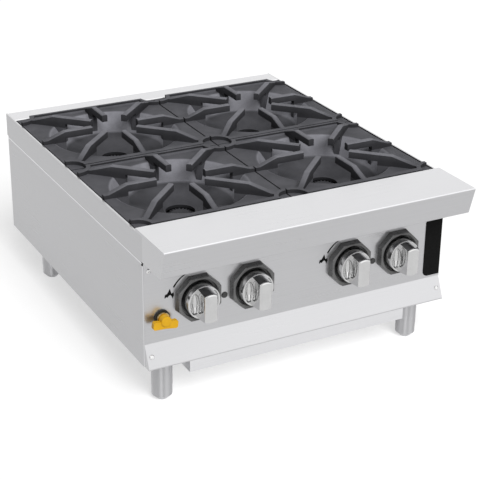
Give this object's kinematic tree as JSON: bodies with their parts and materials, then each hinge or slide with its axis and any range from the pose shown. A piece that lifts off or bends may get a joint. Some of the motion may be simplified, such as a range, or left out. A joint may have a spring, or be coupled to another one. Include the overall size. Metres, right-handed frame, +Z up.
{
  "type": "countertop gas stove",
  "caption": "Low stainless countertop gas stove with cast-iron grates over bowls, toothed burner caps, octagonal knob bezels, a front ledge, a drip tray and bullet feet.",
  "frame": {"origin": "on the ground, in the middle of the overall width and depth", "axes": "+X to the cook's right, +Y towards the back, +Z up"},
  "size_m": [0.61, 0.782, 0.354],
  "materials": {
    "stainless": "brushed stainless sheet",
    "cast_iron": "seasoned cast iron",
    "burner_iron": "raw cast iron",
    "bezel_grey": "dark grey die-cast, satin",
    "knob_chrome": "satin chrome die-cast",
    "valve_brass": "machined brass",
    "spindle_steel": "turned steel",
    "handle_yellow": "gloss yellow paint",
    "black_rubber": "matte rubber",
    "badge_black": "satin black plate",
    "plug_black": "moulded plastic",
    "galvanised_steel": "galvanised sheet",
    "pipe_steel": "black steel pipe",
    "pilot_aluminium": "drawn tube",
    "screw_steel": "zinc plated"
  },
  "bodies": {
    "chassis": {"badge_plate": "badge_black", "base_frame": "galvanised_steel", "burner_front_left": "burner_iron", "burner_front_right": "burner_iron", "burner_rear_left": "burner_iron", "burner_rear_right": "burner_iron", "burner_supports": "galvanised_steel", "center_cross_rail": "galvanised_steel", "control_panel": "stainless", "front_ledge": "stainless", "gas_manifold": "pipe_steel", "gas_supply_pipe": "pipe_steel", "kick_plate": "stainless", "knob_bezel_front_left": "bezel_grey", "knob_bezel_front_right": "bezel_grey", "knob_bezel_rear_left": "bezel_grey", "knob_bezel_rear_right": "bezel_grey", "left_side_panel": "stainless", "left_top_rail": "stainless", "leg_front_left": "stainless", "leg_front_right": "stainless", "leg_rear_left": "stainless", "leg_rear_right": "stainless", "panel_screws": "screw_steel", "pilot_lines": "pilot_aluminium", "pilot_plugs": "plug_black", "rear_panel": "stainless", "rear_top_rail": "stainless", "right_side_panel": "stainless", "right_top_rail": "stainless", "shutoff_grommet": "black_rubber", "shutoff_valve_body": "valve_brass", "tray_runners": "galvanised_steel", "valve_body_front_left": "valve_brass", "valve_body_front_right": "valve_brass", "valve_body_rear_left": "valve_brass", "valve_body_rear_right": "valve_brass"},
    "grate_front_left": {"grate_front_left": "cast_iron"},
    "cap_front_left": {"burner_cap_front_left": "cast_iron"},
    "knob_front_left": {"knob_front_left": "knob_chrome", "valve_stem_front_left": "spindle_steel"},
    "foot_front_left": {"foot_front_left": "stainless"},
    "grate_rear_left": {"grate_rear_left": "cast_iron"},
    "cap_rear_left": {"burner_cap_rear_left": "cast_iron"},
    "knob_rear_left": {"knob_rear_left": "knob_chrome", "valve_stem_rear_left": "spindle_steel"},
    "foot_rear_left": {"foot_rear_left": "stainless"},
    "grate_front_right": {"grate_front_right": "cast_iron"},
    "cap_front_right": {"burner_cap_front_right": "cast_iron"},
    "knob_front_right": {"knob_front_right": "knob_chrome", "valve_stem_front_right": "spindle_steel"},
    "foot_front_right": {"foot_front_right": "stainless"},
    "grate_rear_right": {"grate_rear_right": "cast_iron"},
    "cap_rear_right": {"burner_cap_rear_right": "cast_iron"},
    "knob_rear_right": {"knob_rear_right": "knob_chrome", "valve_stem_rear_right": "spindle_steel"},
    "foot_rear_right": {"foot_rear_right": "stainless"},
    "shutoff": {"shutoff_handle": "handle_yellow", "shutoff_stem": "spindle_steel"},
    "drip_tray": {"drip_tray": "stainless"}
  },
  "joints": [
    {"name": "grate_lift_front_left", "type": "slide", "parent": "chassis", "child": "grate_front_left", "axis": [0, 0, 1], "range_m": [0, 0.2]},
    {"name": "cap_lift_front_left", "type": "slide", "parent": "chassis", "child": "cap_front_left", "axis": [0, 0, 1], "range_m": [0, 0.1]},
    {"name": "knob_turn_front_left", "type": "hinge", "parent": "chassis", "child": "knob_front_left", "pos_m": [-0.20374, -0.332, 0.202], "axis": [0, -1, 0], "range_deg": [0, 90]},
    {"name": "foot_level_front_left", "type": "slide", "parent": "chassis", "child": "foot_front_left", "axis": [0, 0, -1], "range_m": [0, 0.025]},
    {"name": "grate_lift_rear_left", "type": "slide", "parent": "chassis", "child": "grate_rear_left", "axis": [0, 0, 1], "range_m": [0, 0.2]},
    {"name": "cap_lift_rear_left", "type": "slide", "parent": "chassis", "child": "cap_rear_left", "axis": [0, 0, 1], "range_m": [0, 0.1]},
    {"name": "knob_turn_rear_left", "type": "hinge", "parent": "chassis", "child": "knob_rear_left", "pos_m": [-0.09974, -0.332, 0.202], "axis": [0, -1, 0], "range_deg": [0, 90]},
    {"name": "foot_level_rear_left", "type": "slide", "parent": "chassis", "child": "foot_rear_left", "axis": [0, 0, -1], "range_m": [0, 0.025]},
    {"name": "grate_lift_front_right", "type": "slide", "parent": "chassis", "child": "grate_front_right", "axis": [0, 0, 1], "range_m": [0, 0.2]},
    {"name": "cap_lift_front_right", "type": "slide", "parent": "chassis", "child": "cap_front_right", "axis": [0, 0, 1], "range_m": [0, 0.1]},
    {"name": "knob_turn_front_right", "type": "hinge", "parent": "chassis", "child": "knob_front_right", "pos_m": [0.20374, -0.332, 0.202], "axis": [0, -1, 0], "range_deg": [0, 90]},
    {"name": "foot_level_front_right", "type": "slide", "parent": "chassis", "child": "foot_front_right", "axis": [0, 0, -1], "range_m": [0, 0.025]},
    {"name": "grate_lift_rear_right", "type": "slide", "parent": "chassis", "child": "grate_rear_right", "axis": [0, 0, 1], "range_m": [0, 0.2]},
    {"name": "cap_lift_rear_right", "type": "slide", "parent": "chassis", "child": "cap_rear_right", "axis": [0, 0, 1], "range_m": [0, 0.1]},
    {"name": "knob_turn_rear_right", "type": "hinge", "parent": "chassis", "child": "knob_rear_right", "pos_m": [0.09974, -0.332, 0.202], "axis": [0, -1, 0], "range_deg": [0, 90]},
    {"name": "foot_level_rear_right", "type": "slide", "parent": "chassis", "child": "foot_rear_right", "axis": [0, 0, -1], "range_m": [0, 0.025]},
    {"name": "shutoff_turn", "type": "hinge", "parent": "chassis", "child": "shutoff", "pos_m": [-0.2715, -0.323, 0.178], "axis": [0, -1, 0], "range_deg": [0, 90]},
    {"name": "tray_slide", "type": "slide", "parent": "chassis", "child": "drip_tray", "axis": [0, -1, 0], "range_m": [0, 0.45]}
  ]
}
